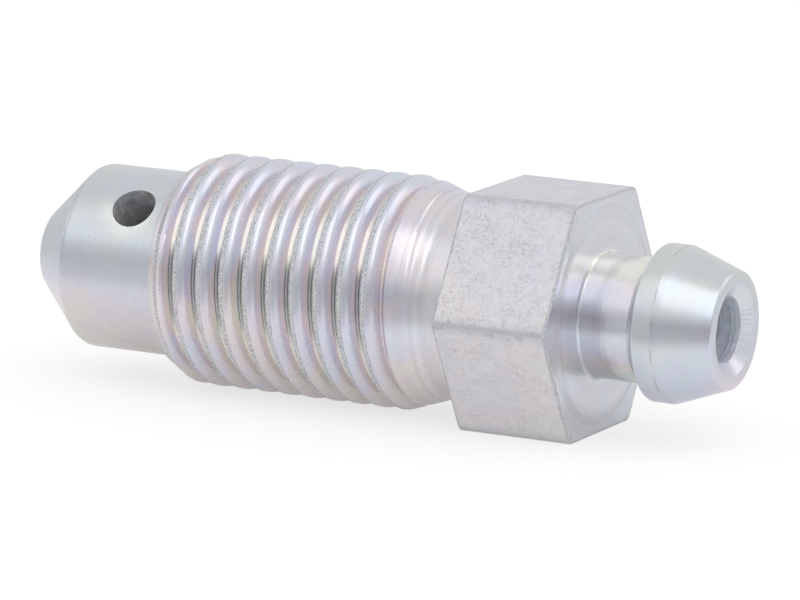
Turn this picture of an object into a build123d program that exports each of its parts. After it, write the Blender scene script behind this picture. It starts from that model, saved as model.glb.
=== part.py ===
from build123d import *
import os
from math import ceil, cos, radians, sin, tan

# Bleeder screw: one turned, rolled and drilled piece that lies on one flat of its hexagon.
# The axis is X. The flat of the sealing tip is at X = 0 and the hose barb points along +X.

# Sealing cone and pilot
tip_flat_diameter = 3.45
cone_half_angle = 44.0
cone_edge_chamfer = 0.25
pilot_diameter = 7.55
pilot_end = 6.35

# Thread, a right-hand 3/8-24 with the crest a little rounded off by its plating
thread_diameter = 9.48
thread_pitch = 25.4 / 24
thread_depth = 0.48
crest_flat = 0.28
flank_half_angle = 30.0
first_groove = 5.16
shoulder_diameter = 8.3
shoulder_length = 0.06
lead_cone_length = 1.0
thread_end = 16.6

# Relief neck between the thread and the hexagon
relief_diameter = 8.05
relief_start = 18.7

# Hexagon
hex_start = 19.87
hex_length = 4.88
hex_across_flats = 9.525
hex_edge_radius = 0.35

# Hose neck and barb
neck_diameter = 5.0
neck_length = 2.3
neck_cove_radius = 0.6
barb_diameter = 6.3
barb_back_length = 0.35
barb_land_length = 0.83
barb_front_length = 2.22
barb_edge_chamfer = 0.15
nipple_end_diameter = 4.7

# Drilled bore and cross port
bore_diameter = 2.6
bore_depth_past_port = 0.4
drill_point_angle = 118.0
countersink_diameter = 3.7
port_diameter = 1.85
port_position = 4.89
port_angle = 44.0

# Radii and places worked out from the sizes above
tip_flat_radius = tip_flat_diameter / 2
pilot_radius = pilot_diameter / 2
cone_length = (pilot_radius - tip_flat_radius) / tan(radians(cone_half_angle))
crest_radius = thread_diameter / 2
root_radius = crest_radius - thread_depth
shoulder_end = pilot_end + shoulder_length
lead_cone_end = shoulder_end + lead_cone_length
relief_radius = relief_diameter / 2
runout_end = thread_end + (relief_start - thread_end) * thread_depth / (crest_radius - relief_radius)
hex_end = hex_start + hex_length
neck_radius = neck_diameter / 2
neck_end = hex_end + neck_length
barb_radius = barb_diameter / 2
barb_back_end = neck_end + barb_back_length
barb_land_end = barb_back_end + barb_land_length
nipple_end = barb_land_end + barb_front_length
nipple_end_radius = nipple_end_diameter / 2
bore_radius = bore_diameter / 2
countersink_radius = countersink_diameter / 2
drill_slope = tan(radians(drill_point_angle / 2))
countersink_bottom = nipple_end - (countersink_radius - bore_radius) / drill_slope
bore_bottom = port_position - port_diameter / 2 - bore_depth_past_port
tolerance = 0.001

# One turn of the groove between two crests, wider than the blank so that it cuts clear of it
groove_overcut = 0.12
flank_slope = tan(radians(flank_half_angle))
root_half_width = (thread_pitch - crest_flat) / 2 - thread_depth * flank_slope
groove_height = thread_depth + groove_overcut
mouth_half_width = root_half_width + groove_height * flank_slope
groove_turns = ceil((runout_end + mouth_half_width - first_groove) / thread_pitch)

with BuildPart() as groove_turn:
    with BuildLine() as groove_path:
        Helix(
            pitch=thread_pitch,
            height=thread_pitch,
            radius=root_radius,
            center=(first_groove, 0, 0),
            direction=(1, 0, 0),
        )
    groove_plane = Plane(origin=groove_path.line @ 0, x_dir=(1, 0, 0), z_dir=groove_path.line % 0)
    with BuildSketch(groove_plane):
        with BuildLine():
            Polyline(
                (-root_half_width, 0),
                (-mouth_half_width, groove_height),
                (mouth_half_width, groove_height),
                (root_half_width, 0),
                close=True,
            )
        make_face()
    sweep(path=groove_path.line, is_frenet=True)

with BuildPart() as bleeder_screw:
    # Turned form, from the sealing tip to the hose barb
    with BuildSketch(Plane.XZ) as turned_section:
        with BuildLine():
            Polyline(
                (0, 0),
                (0, tip_flat_radius),
                (cone_length, pilot_radius),
                (pilot_end, pilot_radius),
                (shoulder_end, shoulder_diameter / 2),
                (lead_cone_end, crest_radius),
                (thread_end, crest_radius),
                (relief_start, relief_radius),
                (hex_start, relief_radius),
                (hex_end, neck_radius),
                (neck_end, neck_radius),
                (barb_back_end, barb_radius),
                (barb_land_end, barb_radius),
                (nipple_end, nipple_end_radius),
                (nipple_end, 0),
                close=True,
            )
        make_face()
        corners = turned_section.vertices()
        cone_edge = corners.filter_by_position(Axis.X, cone_length - tolerance, cone_length + tolerance)
        chamfer(cone_edge, cone_edge_chamfer)
        corners = turned_section.vertices()
        barb_edge = corners.filter_by_position(Axis.X, barb_back_end - tolerance, barb_back_end + tolerance)
        chamfer(barb_edge, barb_edge_chamfer)
    revolve(axis=Axis.X)

    # Hexagon with its long edges rounded
    with BuildSketch(Plane.YZ.offset(hex_start)) as hex_section:
        RegularPolygon(radius=hex_across_flats / 2, side_count=6, major_radius=False)
        fillet(hex_section.vertices(), hex_edge_radius)
    extrude(amount=hex_length)

    # Cove where the hose neck meets the hexagon
    circles = bleeder_screw.edges().filter_by(GeomType.CIRCLE)
    neck_corner = circles.filter_by_position(Axis.X, hex_end - tolerance, hex_end + tolerance)
    fillet(neck_corner.sort_by(SortBy.RADIUS)[-1], neck_cove_radius)

    # Rolled thread, cut turn by turn
    for turn in range(groove_turns):
        with Locations((turn * thread_pitch, 0, 0)):
            add(groove_turn.part, mode=Mode.SUBTRACT)

    # Blind bore with its countersunk mouth
    with BuildSketch(Plane.XZ):
        with BuildLine():
            Polyline(
                (nipple_end, 0),
                (nipple_end, countersink_radius),
                (countersink_bottom, bore_radius),
                (bore_bottom, bore_radius),
                (bore_bottom - bore_radius / drill_slope, 0),
                close=True,
            )
        make_face()
    revolve(axis=Axis.X, mode=Mode.SUBTRACT)

    # Cross port through one side of the pilot into the bore
    port_direction = (0, -sin(radians(port_angle)), cos(radians(port_angle)))
    with BuildSketch(Plane(origin=(port_position, 0, 0), x_dir=(1, 0, 0), z_dir=port_direction)):
        Circle(port_diameter / 2)
    extrude(amount=crest_radius, mode=Mode.SUBTRACT)

bleeder_screw.part.label = "bleeder_screw"
os.makedirs("parts", exist_ok=True)
export_step(bleeder_screw.part, "parts/bleeder_screw.step")
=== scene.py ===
import math

import bmesh
import bpy
from mathutils import Matrix, Quaternion, Vector, noise


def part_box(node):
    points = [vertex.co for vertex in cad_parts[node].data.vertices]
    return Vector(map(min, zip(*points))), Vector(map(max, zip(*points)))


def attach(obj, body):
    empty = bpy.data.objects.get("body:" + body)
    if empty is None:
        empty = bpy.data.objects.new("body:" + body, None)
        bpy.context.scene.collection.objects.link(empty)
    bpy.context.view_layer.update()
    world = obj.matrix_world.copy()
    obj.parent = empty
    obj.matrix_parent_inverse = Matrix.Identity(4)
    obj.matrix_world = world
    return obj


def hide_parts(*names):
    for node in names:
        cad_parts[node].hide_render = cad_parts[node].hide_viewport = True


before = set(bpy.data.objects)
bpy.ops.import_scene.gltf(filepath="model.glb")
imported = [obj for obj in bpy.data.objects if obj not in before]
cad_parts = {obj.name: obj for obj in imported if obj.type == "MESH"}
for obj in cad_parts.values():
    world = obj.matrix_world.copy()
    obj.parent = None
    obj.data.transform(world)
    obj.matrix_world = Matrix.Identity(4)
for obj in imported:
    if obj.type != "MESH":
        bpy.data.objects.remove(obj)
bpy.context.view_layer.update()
lowCorner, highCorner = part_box("bleeder_screw")
mm = 0.001
turn = 2 * math.pi


# the screw, in millimetres along its own axis from the flat of the tip
screw = {
    "length": highCorner.x / mm,
    "acrossFlats": 2 * highCorner.z / mm,
    "roundColumns": 192,  # facets round the turned parts
    "boreColumns": 96,
    "arcStep": math.radians(14),  # longest facet along a rounded edge
    "crease": math.radians(38),  # edges sharper than this aren't smoothed
    "seam": 0.004,  # from the cut end of the thread to the first turned ring
    "slack": 0.001,  # slack where places are compared
    "tipFlat": 3.45,
    "tipMiddle": 0.3,  # radius of the last ring on the flat of the tip
    "tipHollow": 0.0001,
    "tipEdge": 0.16,
    "coneAngle": math.radians(44),
    "coneEdge": 0.3,
    "pilot": 7.55,
    "pilotEnd": 6.35,
    "shoulder": 8.3,
    "shoulderEnd": 6.41,
    "shoulderBack": 0.02,  # how far its edge stands back for the rounding
    "shoulderEdge": 0.05,
    "shoulderFoot": 0.06,
    "leadConeEnd": 7.41,
    "threadEnd": 16.6,
    "relief": 8.05,
    "reliefStart": 18.7,
    "reliefBlend": 0.8,
    "backCove": 0.22,
    "backFace": 0.3,  # width of the ring turned behind the hexagon
    "hexStart": 19.87,
    "hexEnd": 24.75,
    "neck": 5.0,
    "neckEnd": 27.05,
    "neckCove": 0.12,
    "barbCove": 0.25,
    "barb": 6.3,
    "barbBackEnd": 27.4,
    "barbLandEnd": 28.23,
    "barbEdge": 0.09,
    "landEdge": 0.09,
    "nippleEnd": 4.7,
    "rimEdge": 0.11,
    "countersink": 3.7,
    "mouthEdge": 0.05,
    "bore": 2.6,
    "boreLead": 0.3,  # the bore's first stretch, as round as the countersink
    "boreSeam": 0.02,
    "boreEnd": 3.565,
    "drillPoint": math.radians(59),
    "drillEdge": 0.1,
    "drillWeb": 0.07,  # share of the bore's radius that the drill's point leaves blunt
    "webDepth": 0.02,
}
tipRadius = screw["tipFlat"] / 2
pilotRadius = screw["pilot"] / 2
coneLength = (pilotRadius - tipRadius) / math.tan(screw["coneAngle"])
reliefRadius = screw["relief"] / 2
neckRadius = screw["neck"] / 2
barbRadius = screw["barb"] / 2
sinkRadius = screw["countersink"] / 2
boreRadius = screw["bore"] / 2
drillSlope = math.tan(screw["drillPoint"])
sinkBottom = screw["length"] - (sinkRadius - boreRadius) / drillSlope

thread = {
    "columns": 224,  # facets round the thread
    "diameter": 9.48,
    "pitch": 25.4 / 24,
    "depth": 0.48,
    "firstGroove": 5.16,
    "startTurn": 0.25,  # the groove starts a quarter turn from +Y, at the top
    "riseRows": [  # flank towards the tip: distance from the groove's middle, height over its root
        (0.000, 0.000), (0.040, 0.003), (0.066, 0.022), (0.092, 0.058), (0.125, 0.110), (0.175, 0.195),
        (0.235, 0.290), (0.290, 0.374), (0.335, 0.434), (0.372, 0.468), (0.415, 0.480), (0.475, 0.480),
    ],
    "shoulder": 0.52,  # from here the crest rolls over into the other flank
    "fallEnd": 0.995,
    "fallBend": 2.2,
    "fallSteps": 11,
    "blankBlend": 0.05,  # how softly the crests meet the turned blank
    "stripRise": (0.29, 0.35),  # the rough strip along the crest, on the side towards the tip
    "stripFall": (0.58, 0.50),
    "stripEnd": (17.6, 16.8),
    "stripNoise": 0.014,
    "stripWaver": ((4.0, 1.0), (9.0, 0.6)),  # sizes and shares of the noise
    "stripSink": 0.4,
    "leadCut": 6.43,
    "reliefCut": 18.2,
    "cutTolerance": 1e-5,
}
crestRadius = thread["diameter"] / 2
rootRadius = crestRadius - thread["depth"]

hexagon = {
    "cornerRadius": 0.42,
    "leastCorner": 0.02,
    "cornerSteps": 8,
    "flatSteps": 14,
    "lengthSteps": 16,
    "endStep": 0.15,  # the flats' outermost rings, as a share of a step
    "edge": 0.07,
    "edgeSteps": 4,
    "faceRing": 0.05,
    "wave": 0.004,
    "waveSize": 0.9,
    "turnedFace": 4.2,
    "turnedStep": 0.03,
    "backWear": 0.6,
    "frontWear": 1.0,
    "cornerWear": 0.42,
    "cornerBand": (math.radians(3.8), math.radians(1.4)),
}

port = {
    "diameter": 1.85,
    "position": 4.89,
    "angle": math.radians(44),
    "sides": 72,
    "drillRings": (0.0, 1.9, 5.0),
    "dimple": 0.035,
    "dimpleReach": 0.75,
    "nearSide": 1.0,  # the dimple stays this far out on the port's side,
    "skin": 0.3,  # and in this depth of the pilot's side
    # painted pale sheen round the port: strength, reach and the side it lies on
    "glow": 0.65,
    "glowReach": 1.75,  # in radii of the port
    "glowBelow": (0.5, -0.6),
}


def smoothStep(low, high, value):
    t = min(max((value - low) / (high - low), 0.0), 1.0)  # high may lie below low
    return t * t * (3 - 2 * t)


def softMin(a, b, reach):
    h = min(max(0.5 + 0.5 * (b - a) / reach, 0.0), 1.0)
    return b + (a - b) * h - reach * h * (1 - h)


def around(angle, radius):
    return Vector((math.cos(angle), math.sin(angle))) * radius


def axisPoint(x, radius, angle):
    return Vector((x, radius * math.cos(angle), radius * math.sin(angle)))


def angleOf(vert):
    return math.atan2(vert.co.z, vert.co.y) % turn


def addRun(points, end, longest):
    # a straight run, divided into steps
    start = points[-1]
    parts = max(1, math.ceil((end - start).length / longest))
    points += [start.lerp(end, part / parts) for part in range(1, parts + 1)]


def roundProfile(corners):
    # corners are (x, radius, rounding, longest step on the run that leads to it)
    points = [Vector(corners[0][:2])]
    for before, corner, after in zip(corners, corners[1:], corners[2:]):
        here = Vector(corner[:2])
        rounding, longest = corner[2:]
        if rounding == 0:
            addRun(points, here, longest)
            continue
        back = (Vector(before[:2]) - here).normalized()
        ahead = (Vector(after[:2]) - here).normalized()
        half = back.angle(ahead) / 2
        centre = here + (back + ahead).normalized() * rounding / math.sin(half)
        start = here + back * (rounding / math.tan(half)) - centre
        sweep = math.pi - 2 * half
        if start.x * ahead.y - start.y * ahead.x < 0:
            sweep = -sweep
        steps = max(2, round(abs(sweep) / screw["arcStep"]))
        addRun(points, centre + start, longest)
        for step in range(1, steps + 1):
            points.append(centre + Matrix.Rotation(sweep * step / steps, 2) @ start)
    end = corners[-1]
    addRun(points, Vector(end[:2]), end[3])
    return points


def joinRings(bm, first, second, slot):
    # goes round both rings by angle, so their counts may differ
    faces = []
    if len(first) == len(second):
        for k in range(len(first)):
            n = (k + 1) % len(first)
            faces.append(bm.faces.new((first[k], first[n], second[n], second[k])))
    else:
        i = j = 0
        firstAngles = [angleOf(v) for v in first] + [angleOf(first[0]) + turn]
        secondAngles = [angleOf(v) for v in second] + [angleOf(second[0]) + turn]
        while i < len(first) or j < len(second):
            a, b = first[i % len(first)], second[j % len(second)]
            if j == len(second) or (i < len(first) and firstAngles[i + 1] <= secondAngles[j + 1]):
                i += 1
                faces.append(bm.faces.new((a, first[i % len(first)], b)))
            else:
                j += 1
                faces.append(bm.faces.new((a, second[j % len(second)], b)))
    for face in faces:
        face.material_index = slot


def latheProfile(bm, ring, points, columns, slot):
    # carries on from a ring through the points, and returns the last ring
    for point in points:
        angles = [turn * k / columns for k in range(columns)]
        nextRing = [bm.verts.new(axisPoint(point.x, point.y, angle)) for angle in angles]
        joinRings(bm, ring, nextRing, slot)
        ring = nextRing
    return ring


def closeRing(bm, ring, middleX, slot):
    middle = bm.verts.new((middleX, 0, 0))
    for k in range(len(ring)):
        face = bm.faces.new((ring[k], ring[(k + 1) % len(ring)], middle))
        face.material_index = slot


def blankRadius(x):
    # the turned blank under the thread: a lead cone, the crests, and a cone down to the relief neck
    if x < screw["leadConeEnd"]:
        slope = (crestRadius - screw["shoulder"] / 2) / (screw["leadConeEnd"] - screw["shoulderEnd"])
        return crestRadius - (screw["leadConeEnd"] - x) * slope
    if x > screw["threadEnd"]:
        slope = (crestRadius - reliefRadius) / (screw["reliefStart"] - screw["threadEnd"])
        return crestRadius - (x - screw["threadEnd"]) * slope
    return crestRadius


def threadSection():
    # the rows across one pitch: distance from the groove's middle, height over its root
    section = list(thread["riseRows"])
    for k in range(thread["fallSteps"]):
        t = k / (thread["fallSteps"] - 1)
        offset = thread["shoulder"] + (thread["fallEnd"] - thread["shoulder"]) * t
        section.append((offset, thread["depth"] * (1 - t ** thread["fallBend"])))
    return section


def threadVert(bm, worn, x, angle, height, strip):
    # one point of the thread, wavering a little where it lies on the rough strip
    radius = rootRadius + height
    place = axisPoint(x, radius, angle)
    waver = sum(share * noise.noise(place * size) for size, share in thread["stripWaver"])
    radius += strip * thread["stripNoise"] * (waver - thread["stripSink"])
    radius = softMin(radius, blankRadius(x), thread["blankBlend"])
    vert = bm.verts.new(axisPoint(x, radius, angle))
    vert[worn] = strip * smoothStep(*thread["stripEnd"], x)
    return vert


def rollThread(bm, slot, worn):
    # each row goes once round the screw and moves on by one pitch
    section = threadSection()
    rows, columns, pitch = len(section), thread["columns"], thread["pitch"]
    turns = math.ceil((thread["reliefCut"] - thread["firstGroove"]) / pitch)
    grid = []
    for n in range(turns * rows + 1):
        offset, height = section[n % rows]
        strip = smoothStep(*thread["stripRise"], offset) * smoothStep(*thread["stripFall"], offset)
        line = []
        for j in range(columns):
            x = thread["firstGroove"] + pitch * (n // rows + j / columns) + offset
            angle = turn * (j / columns + thread["startTurn"])
            line.append(threadVert(bm, worn, x, angle, height, strip))
        grid.append(line)
    for n in range(turns * rows):
        line, nextLine = list(grid[n]), list(grid[n + 1])
        if n + rows < turns * rows:  # a row's end meets the start of the row one pitch on
            line.append(grid[n + rows][0])
            nextLine.append(grid[n + rows + 1][0])
        for j in range(len(line) - 1):
            face = bm.faces.new((line[j], line[j + 1], nextLine[j + 1], nextLine[j]))
            face.material_index = slot


def trimThread(bm):
    # cuts the thread square at both ends, and returns the ring left at each
    rings = []
    for cut, side in ((thread["leadCut"], 1), (thread["reliefCut"], -1)):
        result = bmesh.ops.bisect_plane(
            bm,
            geom=bm.verts[:] + bm.edges[:] + bm.faces[:],
            dist=thread["cutTolerance"],
            plane_co=(cut, 0, 0),
            plane_no=(side, 0, 0),
            clear_inner=True,
        )
        ring = [part for part in result["geom_cut"] if isinstance(part, bmesh.types.BMVert)]
        rings.append(sorted(ring, key=angleOf))
    return rings


def turnTip(bm, ring, slot):
    # shoulder, pilot, sealing cone and the flat of the tip
    start = thread["leadCut"] - screw["seam"]
    back = screw["shoulderBack"]
    outline = roundProfile([
        (start, blankRadius(start), 0),
        (screw["shoulderEnd"] - back, screw["shoulder"] / 2 - back, screw["shoulderEdge"], 0.2),
        (screw["pilotEnd"] - back / 2, pilotRadius, screw["shoulderFoot"], 0.2),
        (coneLength, pilotRadius, screw["coneEdge"], 0.12),
        (0, tipRadius, screw["tipEdge"], 0.5),
        (0, screw["tipMiddle"], 0, 0.5),
    ])
    ring = latheProfile(bm, ring, outline, screw["roundColumns"], slot)
    closeRing(bm, ring, screw["tipHollow"], slot)


def turnRelief(bm, ring, slot):
    # relief neck up to the back of the hexagon
    start = thread["reliefCut"] + screw["seam"]
    outline = roundProfile([
        (start, blankRadius(start), 0),
        (screw["reliefStart"], reliefRadius, screw["reliefBlend"], 0.3),
        (screw["hexStart"], reliefRadius, screw["backCove"], 0.3),
        (screw["hexStart"], reliefRadius + screw["backFace"], 0, 0.3),
    ])
    return latheProfile(bm, ring, outline, screw["roundColumns"], slot)


def hexOutline(inset):
    # points round the hexagon from +Y, each corner rounded, each flat divided
    radius = max(hexagon["cornerRadius"] - inset, hexagon["leastCorner"])
    reach = screw["acrossFlats"] / 2 - inset - radius
    cornerSteps, flatSteps = hexagon["cornerSteps"], hexagon["flatSteps"]
    points = []
    for side in range(6):
        corner = turn * side / 6
        centre = around(corner, reach) / math.cos(turn / 12)
        for step in range(cornerSteps + 1):
            angle = corner + turn / 12 * (2 * step / cornerSteps - 1)
            points.append(centre + around(angle, radius))
        start = points[-1]
        nextCentre = around(corner + turn / 6, reach) / math.cos(turn / 12)
        end = nextCentre + around(corner + turn / 12, radius)
        points += [start.lerp(end, k / flatSteps) for k in range(1, flatSteps)]
    return points


def makeHexRing(bm, x, inset, wave):
    # the flats wave a little, and only inwards
    ring = []
    for point in hexOutline(inset):
        bend = noise.noise(Vector((x, point.x, point.y)) * hexagon["waveSize"])
        swell = 1 + wave * (bend - 1) / 2 / point.length
        ring.append(bm.verts.new((x, point.x * swell, point.y * swell)))
    return sorted(ring, key=angleOf)


def hexStations():
    # rings along the hexagon, rounded edges included: x, inset, wear
    start, end, edge = screw["hexStart"], screw["hexEnd"], hexagon["edge"]
    bends = [turn / 4 * k / hexagon["edgeSteps"] for k in range(hexagon["edgeSteps"] + 1)]
    rounded = [(edge * (1 - math.sin(bend)), edge * (1 - math.cos(bend))) for bend in bends]
    steps = hexagon["lengthSteps"]
    length = end - start - 2 * edge
    stations = [(start, edge + hexagon["faceRing"], 0)]
    stations += [(start + back, inset, hexagon["backWear"]) for back, inset in reversed(rounded)]
    for k in (hexagon["endStep"], *range(1, steps), steps - hexagon["endStep"]):
        stations.append((start + edge + length * k / steps, 0, 0))
    stations += [(end - back, inset, hexagon["frontWear"]) for back, inset in rounded]
    stations.append((end, edge + hexagon["faceRing"], 0))
    return stations


def millHexagon(bm, ring, slots, worn):
    # back face, rounded edges and the six flats
    slot = slots["face"]
    for x, inset, wear in hexStations():
        hexRing = makeHexRing(bm, x, inset, 0 if inset else hexagon["wave"])
        for vert in hexRing:
            fromCorner = abs((angleOf(vert) + turn / 12) % (turn / 6) - turn / 12)
            cornerWear = hexagon["cornerWear"] * smoothStep(*hexagon["cornerBand"], fromCorner)
            vert[worn] = max(wear, cornerWear)
        joinRings(bm, ring, hexRing, slot)
        ring = hexRing
        slot = slots["face"] if x == screw["hexEnd"] else slots["flats"]
    return ring


def turnNipple(bm, ring, slots):
    # turned front face, cove, hose neck, barb, rim, countersink and the bore's first stretch
    face, step = hexagon["turnedFace"], hexagon["turnedStep"]
    faceX = screw["hexEnd"] + step
    outline = roundProfile([
        (screw["hexEnd"], face + step, 0),
        (faceX, face - step, 0, 0.1),
        (faceX, neckRadius, screw["neckCove"], 0.2),
        (screw["neckEnd"], neckRadius, screw["barbCove"], 0.35),
        (screw["barbBackEnd"], barbRadius, screw["barbEdge"], 0.2),
        (screw["barbLandEnd"], barbRadius, screw["landEdge"], 0.3),
        (screw["length"], screw["nippleEnd"] / 2, screw["rimEdge"], 0.35),
        (screw["length"], sinkRadius, screw["mouthEdge"], 0.2),
        (sinkBottom, boreRadius, screw["mouthEdge"], 0.2),
        (sinkBottom - screw["boreLead"], boreRadius, 0, 0.2),
    ])
    stretches = [  # finish, and what holds up to its last point
        ("face", lambda point: point.x <= faceX + screw["slack"]),
        ("neck", lambda point: point.x <= screw["neckEnd"]),
        ("barb", lambda point: point.y >= sinkRadius + screw["mouthEdge"]),
        ("sink", lambda point: point.y >= boreRadius + screw["mouthEdge"] / 10),
        ("bore", lambda point: True),
    ]
    start = 0
    for name, holds in stretches:
        end = 1 + max(k for k, point in enumerate(outline) if holds(point))
        ring = latheProfile(bm, ring, outline[start:end], screw["roundColumns"], slots[name])
        start = end
    return ring


def drillBore(bm, ring, slot):
    # blind bore with its drill point
    web = screw["drillWeb"]
    webX = screw["boreEnd"] - boreRadius * (1 - web) / drillSlope
    outline = roundProfile([
        (sinkBottom - screw["boreLead"] - screw["boreSeam"], boreRadius, 0),
        (screw["boreEnd"], boreRadius, screw["drillEdge"], 1.0),
        (webX, boreRadius * web, 0, 0.4),
    ])
    ring = latheProfile(bm, ring, outline, screw["boreColumns"], slot)
    closeRing(bm, ring, webX - screw["webDepth"], slot)


def dimplePort(bm):
    # the dimple that drilling leaves round the cross port
    out = Vector((0, -math.sin(port["angle"]), math.cos(port["angle"])))
    foot = Vector((port["position"], 0, 0))
    for vert in bm.verts:
        radius = vert.co.yz.length
        along = (vert.co - foot).dot(out)
        onSide = radius >= pilotRadius - port["skin"] and vert.co.x <= screw["pilotEnd"]
        if along < port["nearSide"] or not onSide:
            continue
        away = (vert.co - foot - out * along).length - port["diameter"] / 2
        drop = port["dimple"] * (1 - smoothStep(0, port["dimpleReach"], away))
        scale = 1 - drop / radius
        vert.co.y *= scale
        vert.co.z *= scale


def finishMesh(bm, name):
    # from millimetres to metres
    bm.transform(Matrix.Scale(mm, 4))
    mesh = bpy.data.meshes.new(name)
    bm.to_mesh(mesh)
    bm.free()
    return mesh


def addObject(name, data):
    holder = bpy.data.objects.new(name, data)
    bpy.context.scene.collection.objects.link(holder)
    return holder


def makeScrewMesh(slots):
    bm = bmesh.new()
    worn = bm.verts.layers.float.new("worn")  # 1 where the plate is rough: crests and milled edges
    rollThread(bm, slots["thread"], worn)
    leadRing, reliefRing = trimThread(bm)
    print("thread rolled:", len(bm.faces), "faces")
    turnTip(bm, leadRing, slots["turned"])
    ring = turnRelief(bm, reliefRing, slots["relief"])
    ring = millHexagon(bm, ring, slots, worn)
    ring = turnNipple(bm, ring, slots)
    drillBore(bm, ring, slots["bore"])
    bmesh.ops.recalc_face_normals(bm, faces=bm.faces[:])
    dimplePort(bm)
    print("turned and milled:", len(bm.faces), "faces")
    return finishMesh(bm, "screwMesh")


def makePortCutter():
    # a straight drill from the bore's axis out through the side of the pilot
    bm = bmesh.new()
    sides, radius = port["sides"], port["diameter"] / 2
    rings = []
    for z in port["drillRings"]:
        rings.append([bm.verts.new(axisPoint(z, radius, turn * k / sides).yzx) for k in range(sides)])
    for low, high in zip(rings, rings[1:]):
        joinRings(bm, low, high, 0)
    bm.faces.new(rings[0][::-1])
    bm.faces.new(rings[-1])
    bm.transform(Matrix.Translation((port["position"], 0, 0)) @ Matrix.Rotation(port["angle"], 4, "X"))
    return addObject("portDrill", finishMesh(bm, "portDrill"))


# zinc plate: its plain tint, and the tints of single places, some of them painted highlights and shade
zinc = {
    "tint": (0.74, 0.74, 0.76),
    "pit": (0.42, 0.43, 0.45),
    "worn": (0.73, 0.735, 0.73),
    "corner": (0.50, 0.53, 0.60),  # the darker film along edges, also used as painted shade low on the hexagon's face
    "root": (0.95, 0.94, 0.88),  # painted highlight: the glint in the thread's root, also painted on the top of the neck
    "rootShade": (0.38, 0.39, 0.41),
    # painted highlight along the back edge of the barb
    "barbBackHighlight": (0.95, 0.97, 0.93),
    "glow": (0.90, 0.92, 0.85),  # painted pale sheen below the cross port
}

# the thin passivate film: its colours, and the patches of noise that spread them
film = {
    "colours": [
        (0.00, (0.70, 0.74, 0.71)),
        (0.18, (0.80, 0.75, 0.68)),
        (0.36, (0.79, 0.70, 0.73)),
        (0.56, (0.70, 0.69, 0.82)),
        (0.76, (0.67, 0.74, 0.84)),
        (1.00, (0.72, 0.76, 0.76)),
    ],
    "wide": (300, 2.0, 0.5),  # size (steps to the metre), detail and roughness of the noise
    "wideShare": 0.9,
    "fine": (1000, 1.0, 0.5),
    "fineShare": 0.5,
    "rootShift": -0.10,  # on the thread, from the root
    "crestShift": 0.312,  # up to the crest
    "runOut": (16.6, 17.8),  # where the rolled finish gives way to the turned one
}

# the plate's texture, its noises given as in the film
plate = {
    "grain": (9000, 4.0, 0.6),
    "mottle": (3200, 3.0, 0.62),
    "speck": (9500, 3.0, 0.6),
    "cloud": (1500, 2.0, 0.5),
    "cloudShare": 0.4,
    "pitRange": (0.50, 0.72),
    "pitDark": 0.5,
    "pitRoughness": 0.2,
    "ragged": (3000, 4.0, 0.7),
    "raggedShare": 2.0,
    "raggedRange": (0.45, 0.85),
    "wornRange": (0.02, 0.15),
    "wornShare": 0.7,
    "crumb": (11000, 2.0, 0.6),
    "crumbRange": (0.50, 0.60),
    "crumbDark": 0.62,
    "crumbDepth": -7.0,
    "edgeFilmRange": (0.02, 0.40),
    "edgeFilmShare": (0.65, 0.05),
    "wobble": (400, 1.0, 0.5),
    "wobbleReach": 0.0001,
    "lineGrain": (1.0, 0.5),  # detail and roughness of the turning lines
    "seamWidth": (0.07, 0.02),
    "seamGaps": (1400, 2.0, 0.5),
    "seamRange": (0.38, 0.62),
    "grainRoughness": 0.06,
    "bumpStrength": 0.6,
    "bumpDistance": 0.00002,
}

# painted highlight and shade in the thread's root: bright high on the side, dark lower down
rootGlintAndShade = {
    "height": (0.045, 0.010),
    "start": (6.85, 7.1),
    "end": (17.0, 16.2),
    "shadeTop": (0.44, 0.24),
    "shadeLow": (-0.5, -0.2),
    "top": (0.86, 0.70),
    "share": (0.65, 0.2),
    "roughness": -0.12,
}

# marks across the countersink, where the drill chattered
chatter = {
    "marks": (34000, 0.0, 0.5),
    "ring": 1.6,
    "stretch": 0.12,
    "range": (0.40, 0.75),
    "side": (0.75, 0.2),
    "dark": 0.3,
    "depth": -0.8,
}

plainFinish = {
    "film": 0.6,  # strength of the film's colours
    "hue": (0.76, 0.0, 0.0),  # place in them: middle of the side, then a change with height and a bend that paint the film's reflection colours
    "gain": 1.0,
    "roughness": 0.26,
    "metallic": 1.0,
    "lines": "x",  # turning lines follow x, or the radius on a flat face
    "lineSize": 5000,
    "lineDepth": 0.4,
    "lineShade": 0.16,
    "pits": 0.0,
    "grain": 0.0,
    "mottle": 0.02,
    "mottleDepth": 0.0,
    "tints": (),  # axis, from and to, strength, tint
    "seam": None,  # a dark line where two turned surfaces meet: place, strength
}

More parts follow.
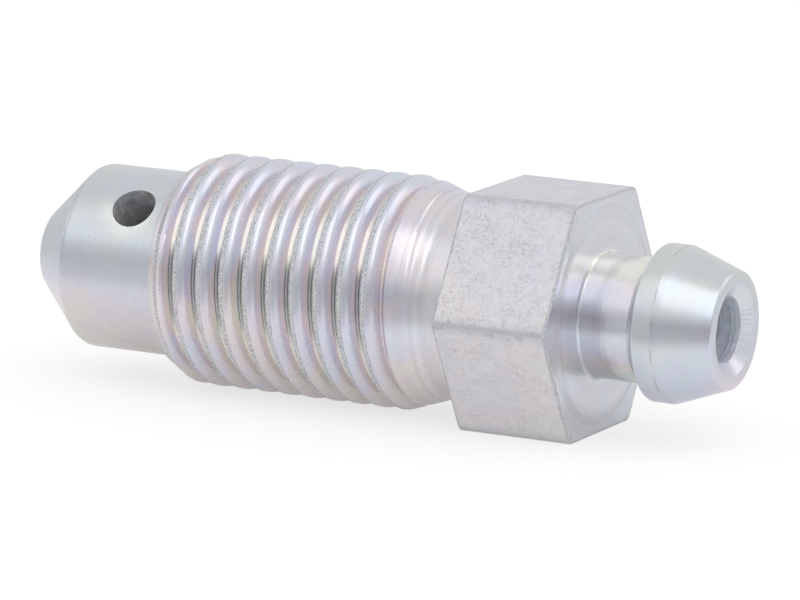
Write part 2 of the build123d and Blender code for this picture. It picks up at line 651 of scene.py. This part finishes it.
finishes = {
    "turned": {
        **plainFinish, "film": 0.7, "hue": (0.62, 0.35, -0.1), "gain": 0.93, "roughness": 0.25,
        "lineDepth": 0.2, "pits": 0.15, "grain": 0.02, "mottle": 0.03,
        "seam": (2.1, 0.22),
    },
    "thread": {
        **plainFinish, "film": 0.75, "hue": (0.35, 0.15, 0.0), "gain": 1.02, "roughness": 0.27,
        "lineDepth": 1.4, "tints": [("x", (7.0, 6.5), 0.45, "corner")],
    },
    "relief": {
        **plainFinish, "film": 0.4, "hue": (0.46, 0.15, 0.0), "roughness": 0.27,
        "lineDepth": 1.6, "pits": 0.03, "mottle": 0.03,
    },
    "flats": {
        **plainFinish, "film": 0.35, "hue": (0.42, 0.14, 0.0), "roughness": 0.40,
        "lines": None, "pits": 0.60, "grain": 0.4, "mottle": 0.13, "mottleDepth": 1.56,
    },
    "face": {
        **plainFinish, "film": 0.4, "hue": (0.60, 0.10, 0.0),
        "lines": "radius", "lineDepth": 1.2, "pits": 0.04,
        # painted shade: the face darkens towards the bottom
        "tints": [("up", (-0.3, -0.8), 0.4, "corner")],
    },
    "neck": {
        **plainFinish, "hue": (0.80, 0.20, -1.0), "gain": 0.98, "roughness": 0.20,
        "lineDepth": 0.3, "pits": 0.1,
        # painted highlight: the top of the neck is brightened with the root's bright tint
        "tints": [("up", (0.60, 0.85), 0.9, "root")],
        "seam": (screw["hexEnd"] + 0.07, 0.5),
    },
    "barb": {
        **plainFinish, "film": 0.8, "hue": (0.78, 0.16, 0.0), "gain": 0.94, "pits": 0.02,
        # painted highlight along the barb's back edge
        "tints": [("x", (screw["barbBackEnd"] + 0.08, screw["barbBackEnd"] - 0.02), 1.0, "barbBackHighlight")],
        "seam": (screw["barbLandEnd"], 0.5),
    },
    "sink": {
        **plainFinish, "gain": 0.95, "roughness": 0.24,
        "lineSize": 16000, "lineDepth": 0.15, "pits": 0.1, "mottle": 0.05,
    },
    "bore": {
        **plainFinish, "film": 0.7, "gain": 0.97, "roughness": 0.35, "metallic": 0.4,
        "lineSize": 14000, "lineDepth": 2.4, "lineShade": 0.4, "pits": 0.2, "grain": 0.3, "mottle": 0.25,
    },
    "port": {
        **plainFinish, "film": 0.4, "hue": (0.95, 0.0, 0.0), "gain": 0.72, "roughness": 0.42,
        "metallic": 0.4, "lines": None, "pits": 0.8, "grain": 0.4, "mottle": 0.5,
    },
}


class NodeDesk:
    # short calls for the shader nodes that the finishes and the studio need
    def __init__(self, owner):
        owner.use_nodes = True
        self.nodes = owner.node_tree.nodes
        self.links = owner.node_tree.links
        self.nodes.clear()

    def add(self, kind, **values):
        node = self.nodes.new(kind)
        for key, value in values.items():
            setattr(node, key, value)
        return node

    def plug(self, source, target):
        self.links.new(source, target)

    def fill(self, sockets, values):
        # each value is a number, a colour or the output of another node
        for socket, value in zip(sockets, values):
            if isinstance(value, (int, float)):
                socket.default_value = value
            elif isinstance(value, tuple):
                socket.default_value = (*value, 1)
            else:
                self.plug(value, socket)

    def math(self, operation, *values):
        node = self.add("ShaderNodeMath", operation=operation)
        self.fill(node.inputs, values)
        return node.outputs[0]

    def plus(self, a, b):
        return self.math("ADD", a, b)

    def minus(self, a, b):
        return self.math("SUBTRACT", a, b)

    def times(self, a, b):
        return self.math("MULTIPLY", a, b)

    def over(self, a, b):
        return self.math("DIVIDE", a, b)

    def scaled(self, value, factor, shift):
        return self.math("MULTIPLY_ADD", value, factor, shift)

    def larger(self, a, b):
        return self.math("MAXIMUM", a, b)

    def between(self, value, ends):
        # smooth 0 to 1 as the value goes from the first end to the second
        node = self.add("ShaderNodeMapRange", interpolation_type="SMOOTHSTEP")
        self.fill(node.inputs, (value, *ends))
        return node.outputs[0]

    def noise(self, vector, form):
        node = self.add("ShaderNodeTexNoise")
        names = ("Vector", "Scale", "Detail", "Roughness")
        self.fill([node.inputs[name] for name in names], (vector, *form))
        return node.outputs["Fac"]

    def ramp(self, factor, stops):
        node = self.add("ShaderNodeValToRGB")
        elements = node.color_ramp.elements
        while len(elements) < len(stops):
            elements.new(0.5)
        for element, (place, colour) in zip(elements, stops):
            element.position = place
            element.color = (*colour, 1)
        self.plug(factor, node.inputs["Fac"])
        return node.outputs["Color"]

    def mix(self, factor, a, b, blend="MIX"):
        node = self.add("ShaderNodeMix", data_type="RGBA", blend_type=blend)
        self.fill([node.inputs[k] for k in (0, 6, 7)], (factor, a, b))
        return node.outputs[2]

    def shade(self, colour, grey):
        return self.mix(1.0, colour, grey, "MULTIPLY")

    def blend(self, factor, first, second):
        node = self.add("ShaderNodeMixShader")
        self.fill(node.inputs, (factor, first, second))
        return node.outputs[0]

    def axes(self, vector):
        split = self.add("ShaderNodeSeparateXYZ")
        self.plug(vector, split.inputs[0])
        return split.outputs


def readSpot(desk):
    # where a point of the surface lies: along the screw, off its axis, and how high on the round side
    place = desk.add("ShaderNodeTexCoord").outputs["Object"]
    x, y, z = desk.axes(place)
    radius = desk.math("SQRT", desk.plus(desk.times(y, y), desk.times(z, z)))
    return {"place": place, "x": x, "y": y, "z": z, "radius": radius, "up": desk.over(z, radius)}


def alongScrew(desk, spot, ends):
    return desk.between(spot["x"], [end * mm for end in ends])


def filmColour(desk, name, finish, spot):
    # the film changes in soft patches and down the flanks of the thread; its change with height on the side
    # is a painted reflection tint
    offset, slope, bend = finish["hue"]
    wide, fine = film["wideShare"], film["fineShare"]
    up = spot["up"]
    if name == "turned":  # on the tip's flat it follows the height alone
        up = desk.over(spot["z"], desk.larger(spot["radius"], tipRadius * mm))
    shift = desk.scaled(desk.noise(spot["place"], film["wide"]), wide, offset - (wide + fine) / 2)
    shift = desk.scaled(desk.noise(spot["place"], film["fine"]), fine, shift)
    shift = desk.scaled(up, slope, shift)
    shift = desk.scaled(desk.times(up, up), bend, shift)
    if name == "thread":
        height = desk.over(desk.minus(spot["radius"], rootRadius * mm), thread["depth"] * mm)
        rolled = desk.plus(desk.scaled(height, film["crestShift"], film["rootShift"]), shift)
        plain = desk.plus(shift, finishes["relief"]["hue"][0] - offset)
        runOut = alongScrew(desk, spot, film["runOut"])
        shift = desk.scaled(desk.minus(plain, rolled), runOut, rolled)
    return desk.mix(finish["film"], zinc["tint"], desk.ramp(shift, film["colours"]))


def portPaintedSheen(desk, spot):
    # painted sheen, palest round the lower rim of the cross port
    sine, cosine = math.sin(port["angle"]), math.cos(port["angle"])
    along = desk.minus(spot["x"], port["position"] * mm)
    across = desk.scaled(spot["y"], cosine, desk.times(spot["z"], sine))
    outward = desk.scaled(spot["y"], -sine, desk.times(spot["z"], cosine))
    distance = desk.math("SQRT", desk.plus(desk.times(along, along), desk.times(across, across)))
    rim = port["diameter"] / 2 * mm
    near = desk.between(distance, (rim * port["glowReach"], rim))
    below = desk.between(across, [end * mm for end in port["glowBelow"]])
    outside = desk.math("GREATER_THAN", outward, 0.0)
    return desk.times(desk.times(near, below), outside)


def rootMask(desk, spot):
    # 1 at the bottom of the thread's groove, away from its two ends
    low = desk.between(spot["radius"], [(rootRadius + height) * mm for height in rootGlintAndShade["height"]])
    low = desk.times(low, alongScrew(desk, spot, rootGlintAndShade["end"]))
    return desk.times(low, alongScrew(desk, spot, rootGlintAndShade["start"]))


def paintRootGlintAndShade(desk, spot, colour, root):
    # painted glint high on the side, painted dark line lower down
    low = desk.between(spot["up"], rootGlintAndShade["shadeLow"])
    shaded = desk.times(desk.between(spot["up"], rootGlintAndShade["shadeTop"]), low)
    paintedRootTone = desk.mix(shaded, zinc["root"], zinc["rootShade"])
    lit = desk.scaled(desk.between(spot["up"], rootGlintAndShade["top"]), *rootGlintAndShade["share"])
    return desk.mix(desk.times(root, lit), colour, paintedRootTone)


def placeTints(desk, finish, spot, colour):
    for axis, ends, strength, tint in finish["tints"]:
        unit = mm if axis == "x" else 1
        amount = desk.between(spot[axis], [end * unit for end in ends])
        colour = desk.mix(desk.times(amount, strength), colour, zinc[tint])
    return colour


def pitAmount(desk, finish, spot):
    # pits come in clouds
    speck = desk.noise(spot["place"], plate["speck"])
    cloud = desk.noise(spot["place"], plate["cloud"])
    speck = desk.plus(speck, desk.scaled(cloud, plate["cloudShare"], -plate["cloudShare"] / 2))
    return desk.times(desk.between(speck, plate["pitRange"]), finish["pits"])


def wornAmount(desk, spot, worn):
    # rough plate on crests and milled edges, broken up by noise
    share = plate["raggedShare"]
    ragged = desk.noise(spot["place"], plate["ragged"])
    ragged = desk.plus(worn, desk.scaled(ragged, share, -share / 2))
    inside = desk.between(worn, plate["wornRange"])
    return desk.times(desk.between(ragged, plate["raggedRange"]), inside)


def seamLine(desk, finish, spot):
    # a thin dark line where two turned surfaces meet, broken here and there
    at, strength = finish["seam"]
    away = desk.math("ABSOLUTE", desk.minus(spot["x"], at * mm))
    line = desk.between(away, [width * mm for width in plate["seamWidth"]])
    gaps = desk.between(desk.noise(spot["place"], plate["seamGaps"]), plate["seamRange"])
    return desk.times(desk.times(line, gaps), strength)


def turningLines(desk, finish, spot):
    vector = desk.add("ShaderNodeCombineXYZ")
    desk.plug(spot[finish["lines"]], vector.inputs[0])
    wobble = desk.noise(spot["place"], plate["wobble"])
    desk.plug(desk.times(wobble, plate["wobbleReach"]), vector.inputs[1])
    return desk.noise(vector.outputs[0], (finish["lineSize"], *plate["lineGrain"]))


def chatterMarks(desk, spot):
    # noise that is fine round the countersink and long up its slope
    vector = desk.add("ShaderNodeCombineXYZ")
    for axis, socket in zip("yz", vector.inputs):
        desk.plug(desk.times(desk.over(spot[axis], spot["radius"]), chatter["ring"] * mm), socket)
    desk.plug(desk.times(spot["x"], chatter["stretch"]), vector.inputs[2])
    marks = desk.between(desk.noise(vector.outputs[0], chatter["marks"]), chatter["range"])
    side = desk.between(desk.math("ABSOLUTE", spot["up"]), chatter["side"])
    return desk.times(marks, side)


def makeZinc(name, finish):
    material = bpy.data.materials.new("zinc" + name[0].upper() + name[1:])
    desk = NodeDesk(material)
    spot = readSpot(desk)
    grain = desk.noise(spot["place"], plate["grain"])
    mottle = desk.noise(spot["place"], plate["mottle"])
    crumb = desk.noise(spot["place"], plate["crumb"])
    pits = pitAmount(desk, finish, spot)
    worn = desk.add("ShaderNodeAttribute", attribute_name="worn").outputs["Fac"]
    rough = wornAmount(desk, spot, worn)

    # the film and the tints of single places, with painted sheen, highlights and shade among them
    colour = filmColour(desk, name, finish, spot)
    smoothest = finish["roughness"] - plate["grainRoughness"] / 2
    roughness = desk.scaled(grain, plate["grainRoughness"], smoothest)
    roughness = desk.plus(roughness, desk.times(pits, plate["pitRoughness"]))
    if name == "turned":
        # painted sheen below the cross port
        colour = desk.mix(desk.times(portPaintedSheen(desk, spot), port["glow"]), colour, zinc["glow"])
    if name == "thread":
        # painted highlight and shade in the thread's root
        root = rootMask(desk, spot)
        colour = paintRootGlintAndShade(desk, spot, colour, root)
        roughness = desk.scaled(root, rootGlintAndShade["roughness"], roughness)
    colour = placeTints(desk, finish, spot, colour)

    # soft mottle, worn plate, the dark film on the hexagon's edges, then everything dark
    colour = desk.shade(colour, desk.scaled(mottle, 2 * finish["mottle"], finish["gain"] - finish["mottle"]))
    colour = desk.mix(desk.times(rough, plate["wornShare"]), colour, zinc["worn"])
    if name == "flats":
        edgeFilm = desk.scaled(mottle, *plate["edgeFilmShare"])
        edgeFilm = desk.times(desk.between(worn, plate["edgeFilmRange"]), edgeFilm)
        colour = desk.mix(edgeFilm, colour, zinc["corner"])
    crumbs = desk.times(desk.between(crumb, plate["crumbRange"]), rough)
    dark = desk.larger(desk.times(crumbs, plate["crumbDark"]), desk.times(pits, plate["pitDark"]))
    if finish["seam"]:
        dark = desk.larger(dark, seamLine(desk, finish, spot))
    colour = desk.mix(dark, colour, zinc["pit"])

    # relief for the bump: grain, pits, crumbs and turning lines; the turning lines also paint light and dark
    # streaks of sheen into the colour
    height = desk.scaled(mottle, finish["mottleDepth"], desk.times(grain, finish["grain"]))
    height = desk.minus(height, pits)
    height = desk.plus(height, desk.times(desk.times(crumb, rough), plate["crumbDepth"]))
    if finish["lines"]:
        lines = turningLines(desk, finish, spot)
        depth = finish["lineDepth"]
        if name == "thread":
            depth = desk.times(alongScrew(desk, spot, film["runOut"]), depth)
        height = desk.plus(height, desk.times(lines, depth))
        # painted sheen: the colour turns lighter and darker along the turning lines
        lined = desk.times(desk.minus(lines, 0.5), depth)
        colour = desk.shade(colour, desk.scaled(lined, finish["lineShade"], 1.0))
    if name == "sink":
        marks = chatterMarks(desk, spot)
        colour = desk.mix(desk.times(marks, chatter["dark"]), colour, zinc["pit"])
        height = desk.scaled(marks, chatter["depth"], height)

    bump = desk.add("ShaderNodeBump")
    bump.inputs["Strength"].default_value = plate["bumpStrength"]
    bump.inputs["Distance"].default_value = plate["bumpDistance"]
    desk.plug(height, bump.inputs["Height"])
    shader = desk.add("ShaderNodeBsdfPrincipled")
    shader.inputs["Metallic"].default_value = finish["metallic"]
    desk.plug(colour, shader.inputs["Base Color"])
    desk.plug(roughness, shader.inputs["Roughness"])
    desk.plug(bump.outputs[0], shader.inputs["Normal"])
    desk.plug(shader.outputs[0], desk.add("ShaderNodeOutputMaterial").inputs[0])
    return material


def makeScrew():
    slots = {name: k for k, name in enumerate(finishes)}
    mesh = makeScrewMesh(slots)
    for name, finish in finishes.items():
        mesh.materials.append(makeZinc(name, finish))
    body = addObject("screwBody", mesh)

    drill = makePortCutter()
    drill.data.materials.append(mesh.materials[slots["port"]])
    cut = body.modifiers.new("crossPort", "BOOLEAN")
    cut.operation = "DIFFERENCE"
    cut.solver = "EXACT"
    cut.material_mode = "TRANSFER"
    cut.object = drill
    depsgraph = bpy.context.evaluated_depsgraph_get()
    drilled = bpy.data.meshes.new_from_object(body.evaluated_get(depsgraph))
    body.modifiers.clear()
    body.data = drilled
    bpy.data.objects.remove(drill)
    drilled.shade_smooth()
    drilled.set_sharp_from_angle(angle=screw["crease"])
    print("port drilled:", len(drilled.polygons), "faces,", len(drilled.materials), "materials")

    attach(body, "root")
    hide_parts("bleeder_screw")


studio = {
    "floorSize": 3.0,
    "floorTint": (0.97, 0.97, 0.97),
    "floorGlow": 0.68,  # share of plain white that the camera sees
    "floorMirror": 0.35,  # the same share for reflections
    "white": (1.0, 1.0, 1.0),
    "bright": 0.82,  # what the metal mirrors: a white room with an unlit band low in front
    "floorBright": 0.90,
    "dim": 0.58,
    "dimHeight": (0.46, 0.10),
    "dimFront": (0.20, -0.35),
    "dimRight": (-0.60, 0.0),  # the band is weaker to the left
    "dimFloor": (-0.009, -0.021),
    "dimFloorRight": (-0.02, 0.02),
    "dimLeast": 0.45,
    "leftShade": 0.13,  # the room darkens a little to the left
    "leftReach": (-0.45, -0.90),
    "leftFloor": (-0.004, -0.02),
    "backShade": 0.17,  # and so does the floor behind
    "backFloor": (0.004, 0.018),
    "lampReach": 0.46,
    "lamps": [  # name, direction from the screw, size, power
        ("keySoftbox", (0.41, -0.45, 0.79), (0.34, 0.38), 0.25),
        ("topSoftbox", (-0.44, -0.55, 0.71), (0.22, 0.38), 0.060),
        ("rightSoftbox", (0.52, 0.44, 0.73), (0.24, 0.24), 0.085),
        ("leftSoftbox", (-0.96, 0.03, 0.27), (0.18, 0.20), 0.045),
        ("sinkSoftbox", (0.66, 0.68, 0.30), (0.16, 0.14), 0.035),
    ],
}


def roomLevel(desk, level, front, right, left):
    # grey of the mirrored room: full level, dimmed in front and a little to the left
    share = desk.scaled(right, 1 - studio["dimLeast"], studio["dimLeast"])
    shaded = desk.scaled(desk.times(front, share), studio["dim"] - 1, 1.0)
    leftward = desk.scaled(left, -studio["leftShade"], 1.0)
    return desk.times(desk.times(shaded, leftward), level)


def paintFloor():
    # matte white that keeps the shadow, and glows to the camera and in the metal
    paint = bpy.data.materials.new("floorPaint")
    desk = NodeDesk(paint)
    rays = desk.add("ShaderNodeLightPath").outputs
    mirrored = rays["Is Glossy Ray"]
    seen = desk.larger(desk.larger(rays["Is Camera Ray"], mirrored), rays["Is Transmission Ray"])
    axes = desk.axes(desk.add("ShaderNodeNewGeometry").outputs["Position"])
    front = desk.between(axes["Y"], studio["dimFloor"])
    right = desk.between(axes["X"], studio["dimFloorRight"])
    left = desk.between(axes["X"], studio["leftFloor"])
    back = desk.between(axes["Y"], studio["backFloor"])
    level = desk.scaled(back, -studio["backShade"] * studio["floorBright"], studio["floorBright"])
    room = roomLevel(desk, level, front, right, left)
    matte = desk.add("ShaderNodeBsdfDiffuse")
    desk.plug(desk.mix(mirrored, studio["floorTint"], room), matte.inputs["Color"])
    glow = desk.add("ShaderNodeEmission")
    desk.plug(desk.mix(mirrored, studio["white"], room), glow.inputs["Color"])
    share = desk.scaled(mirrored, studio["floorMirror"] - studio["floorGlow"], studio["floorGlow"])
    blend = desk.blend(desk.times(seen, share), matte.outputs[0], glow.outputs[0])
    desk.plug(blend, desk.add("ShaderNodeOutputMaterial").inputs[0])
    return paint


def makeFloor():
    half = studio["floorSize"] / 2
    corners = ((-half, -half), (half, -half), (half, half), (-half, half))
    mesh = bpy.data.meshes.new("floorMesh")
    mesh.from_pydata([(x, y, lowCorner.z) for x, y in corners], [], [(0, 1, 2, 3)])
    mesh.materials.append(paintFloor())
    floor = addObject("floor", mesh)


def makeRoom():
    # plain light from all round, white behind for the camera, the room for reflections
    world = bpy.data.worlds.new("studioWorld")
    bpy.context.scene.world = world
    desk = NodeDesk(world)
    rays = desk.add("ShaderNodeLightPath").outputs
    reflected = desk.larger(rays["Is Glossy Ray"], rays["Is Transmission Ray"])
    axes = desk.axes(desk.add("ShaderNodeTexCoord").outputs["Generated"])
    low = desk.between(axes["Z"], studio["dimHeight"])
    front = desk.times(low, desk.between(axes["Y"], studio["dimFront"]))
    right = desk.between(axes["X"], studio["dimRight"])
    left = desk.between(axes["X"], studio["leftReach"])
    room = desk.add("ShaderNodeBackground")
    desk.plug(roomLevel(desk, studio["bright"], front, right, left), room.inputs["Color"])
    plain = desk.add("ShaderNodeBackground")
    plain.inputs["Color"].default_value = (*studio["white"], 1)
    lit = desk.blend(reflected, plain.outputs[0], room.outputs[0])
    seen = desk.blend(rays["Is Camera Ray"], lit, plain.outputs[0])
    desk.plug(seen, desk.add("ShaderNodeOutputWorld").inputs[0])


def hangLamps():
    middle = Vector((highCorner.x / 2, 0, 0))
    for name, direction, size, power in studio["lamps"]:
        offset = Vector(direction).normalized() * studio["lampReach"]
        lamp = bpy.data.lights.new(name, "AREA")
        lamp.shape = "RECTANGLE"
        lamp.size, lamp.size_y = size
        lamp.energy = power
        holder = addObject(name, lamp)
        holder.location = middle + offset
        holder.rotation_euler = (-offset).to_track_quat("-Z", "Y").to_euler()


view = {
    "azimuth": math.radians(26.82),
    "elevation": math.radians(11.31),
    "roll": math.radians(1.28),
    "distance": 0.24122,
    "target": (0.015675, 0.000139, -0.000428),
    "lens": 270,
    "sensor": 36,
    "clip": (0.01, 10),
}


def makeCamera():
    camera = bpy.data.cameras.new("photoCamera")
    camera.lens = view["lens"]
    camera.sensor_width = view["sensor"]
    camera.clip_start, camera.clip_end = view["clip"]
    holder = addObject("photoCamera", camera)
    level = math.cos(view["elevation"])
    away = Vector((
        math.sin(view["azimuth"]) * level,
        -math.cos(view["azimuth"]) * level,
        math.sin(view["elevation"]),
    ))
    holder.location = Vector(view["target"]) + away * view["distance"]
    upright = (-away).to_track_quat("-Z", "Y")
    holder.rotation_euler = (upright @ Quaternion((0, 0, 1), view["roll"])).to_euler()
    bpy.context.scene.camera = holder


makeScrew()
makeFloor()
makeRoom()
hangLamps()
makeCamera()
bpy.context.scene.view_settings.view_transform = "Standard"
print("studio and camera set")
